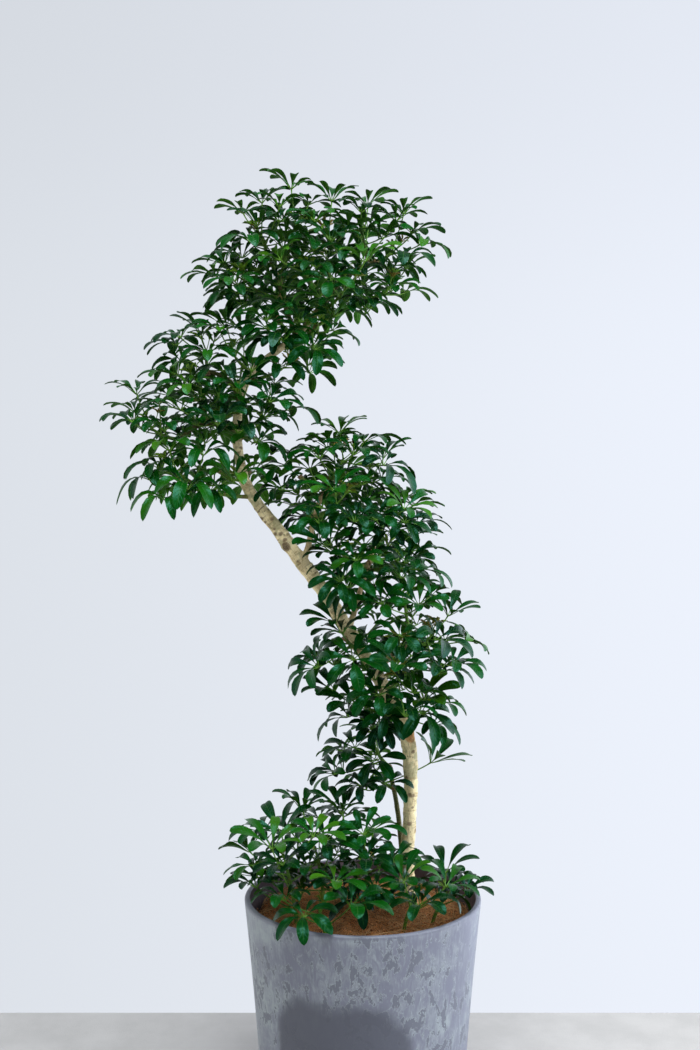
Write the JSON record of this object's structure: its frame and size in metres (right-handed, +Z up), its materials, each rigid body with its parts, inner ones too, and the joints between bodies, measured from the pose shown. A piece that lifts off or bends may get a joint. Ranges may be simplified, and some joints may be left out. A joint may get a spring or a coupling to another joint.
{
  "type": "potted dwarf umbrella tree",
  "caption": "Trained dwarf umbrella tree with a zigzag trunk, compound leaves and low underplanting, standing in a round tapered pot.",
  "frame": {"origin": "centre of the pot's flat underside, on the surface that it stands on", "axes": "+Z up along the trunk's rise; the front view, in which the trunk zigzags from side to side, looks along +Y"},
  "size_m": [0.5975, 0.3865, 1.4706],
  "materials": {
    "stone_resin": "satin grey-violet with pale mineral streaks",
    "potting_soil": "damp crumbly soil",
    "coconut_fibre": "shaggy matt fibre",
    "bark": "matt pale bark with brown spots",
    "young_bark": "matt brown young bark",
    "leaf_green": "glossy dark green leaf"
  },
  "bodies": {
    "root": {"base_1": "leaf_green", "base_2": "leaf_green", "base_3": "leaf_green", "base_4": "leaf_green", "base_5": "leaf_green", "base_6": "leaf_green", "crown_1": "leaf_green", "crown_10": "leaf_green", "crown_11": "leaf_green", "crown_12": "leaf_green", "crown_13": "leaf_green", "crown_2": "leaf_green", "crown_3": "leaf_green", "crown_4": "leaf_green", "crown_5": "leaf_green", "crown_6": "leaf_green", "crown_7": "leaf_green", "crown_8": "leaf_green", "crown_9": "leaf_green", "fibre_mat": "coconut_fibre", "foot_1": "leaf_green", "foot_2": "leaf_green", "left_1": "leaf_green", "left_10": "leaf_green", "left_11": "leaf_green", "left_2": "leaf_green", "left_3": "leaf_green", "left_4": "leaf_green", "left_5": "leaf_green", "left_6": "leaf_green", "left_7": "leaf_green", "left_8": "leaf_green", "left_9": "leaf_green", "lower_1": "leaf_green", "lower_2": "leaf_green", "lower_3": "leaf_green", "lower_4": "leaf_green", "lower_5": "leaf_green", "lower_6": "leaf_green", "lower_7": "leaf_green", "lower_8": "leaf_green", "middle_1": "leaf_green", "middle_2": "leaf_green", "middle_3": "leaf_green", "middle_4": "leaf_green", "middle_5": "leaf_green", "middle_6": "leaf_green", "middle_7": "leaf_green", "middle_8": "leaf_green", "middle_9": "leaf_green", "pot": "stone_resin", "second_stem": "young_bark", "soil": "potting_soil", "trunk": "bark"}
  },
  "joints": []
}
